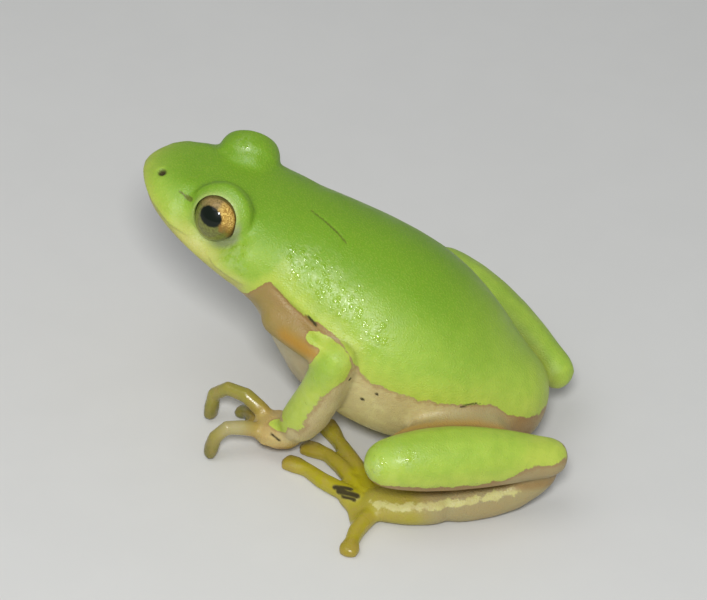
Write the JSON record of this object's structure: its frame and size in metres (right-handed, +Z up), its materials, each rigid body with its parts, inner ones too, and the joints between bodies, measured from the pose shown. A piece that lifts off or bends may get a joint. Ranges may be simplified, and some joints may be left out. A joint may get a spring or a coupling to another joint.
{
  "type": "tree frog",
  "caption": "Small green tree frog sitting with its chest raised on its arms and its hind legs folded; a life-size still model that rests on its feet, toe discs and fingertips.",
  "frame": {"origin": "middle of the bounding box's underside, on the floor under the frog", "axes": "+Z up, -Y towards the nose, +X to the frog's left"},
  "size_m": [0.0348, 0.0356, 0.0213],
  "materials": {
    "skin_green": "moist, finely grained skin, green above and pale below",
    "skin_yellow": "moist bare skin of the digits",
    "eye": "wet gloss, bronze iris and black pupil"
  },
  "bodies": {
    "root": {"eye_left": "eye", "eye_right": "eye", "finger_1_left": "skin_yellow", "finger_1_right": "skin_yellow", "finger_2_left": "skin_yellow", "finger_2_right": "skin_yellow", "finger_3_left": "skin_yellow", "finger_3_right": "skin_yellow", "finger_4_left": "skin_yellow", "finger_4_right": "skin_yellow", "foot_left": "skin_green", "foot_right": "skin_green", "forearm_left": "skin_green", "forearm_right": "skin_green", "hand_left": "skin_green", "hand_right": "skin_green", "head": "skin_green", "lower_jaw": "skin_green", "shank_left": "skin_green", "shank_right": "skin_green", "tarsus_left": "skin_green", "tarsus_right": "skin_green", "thigh_left": "skin_green", "thigh_right": "skin_green", "toe_1_left": "skin_yellow", "toe_1_right": "skin_yellow", "toe_2_left": "skin_yellow", "toe_2_right": "skin_yellow", "toe_3_left": "skin_yellow", "toe_3_right": "skin_yellow", "toe_4_left": "skin_yellow", "toe_4_right": "skin_yellow", "toe_5_left": "skin_yellow", "toe_5_right": "skin_yellow", "trunk": "skin_green", "upper_arm_left": "skin_green", "upper_arm_right": "skin_green"}
  },
  "joints": []
}
